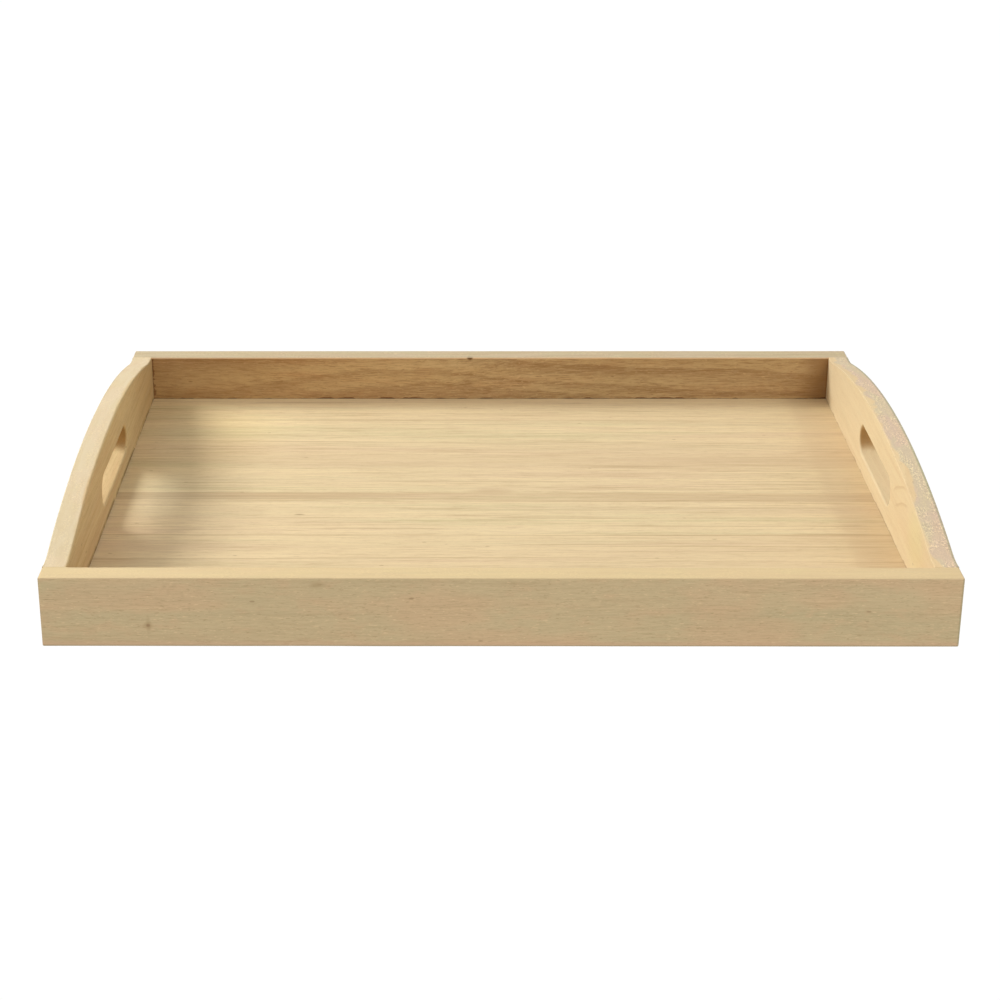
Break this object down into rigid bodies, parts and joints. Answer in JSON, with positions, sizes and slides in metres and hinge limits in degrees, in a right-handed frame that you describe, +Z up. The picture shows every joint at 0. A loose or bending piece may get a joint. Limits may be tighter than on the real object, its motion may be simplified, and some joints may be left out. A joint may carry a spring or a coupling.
{
  "type": "serving tray",
  "caption": "Rectangular wooden serving tray with low straight long rails and higher crowned end boards that have oblong hand holes.",
  "frame": {"origin": "on the resting plane, under the middle of the tray", "axes": "+X along the long rails, +Y from the front rail to the back rail, +Z up"},
  "size_m": [0.45, 0.34, 0.0546],
  "materials": {
    "front_rail_wood": "planed and sanded, unstained, matt, pale straight grain along the rail",
    "back_rail_wood": "planed and sanded, unstained, matt, redder piece with wavy dark grain along the rail",
    "end_board_wood": "planed and sanded, unstained, matt, grain along the board",
    "base_wood": "planed and sanded, unstained, matt, edge-glued staves, fine straight grain across the tray",
    "dowel_wood": "turned and fluted, unfinished"
  },
  "bodies": {
    "root": {"front_rail": "front_rail_wood", "back_rail": "back_rail_wood", "left_end_board": "end_board_wood", "right_end_board": "end_board_wood", "base_stave_1": "base_wood", "base_stave_2": "base_wood", "base_stave_3": "base_wood", "base_stave_4": "base_wood", "base_stave_5": "base_wood", "base_stave_6": "base_wood", "front_left_lower_dowel": "dowel_wood", "front_left_upper_dowel": "dowel_wood", "front_right_lower_dowel": "dowel_wood", "front_right_upper_dowel": "dowel_wood", "back_left_lower_dowel": "dowel_wood", "back_left_upper_dowel": "dowel_wood", "back_right_lower_dowel": "dowel_wood", "back_right_upper_dowel": "dowel_wood"}
  },
  "joints": []
}
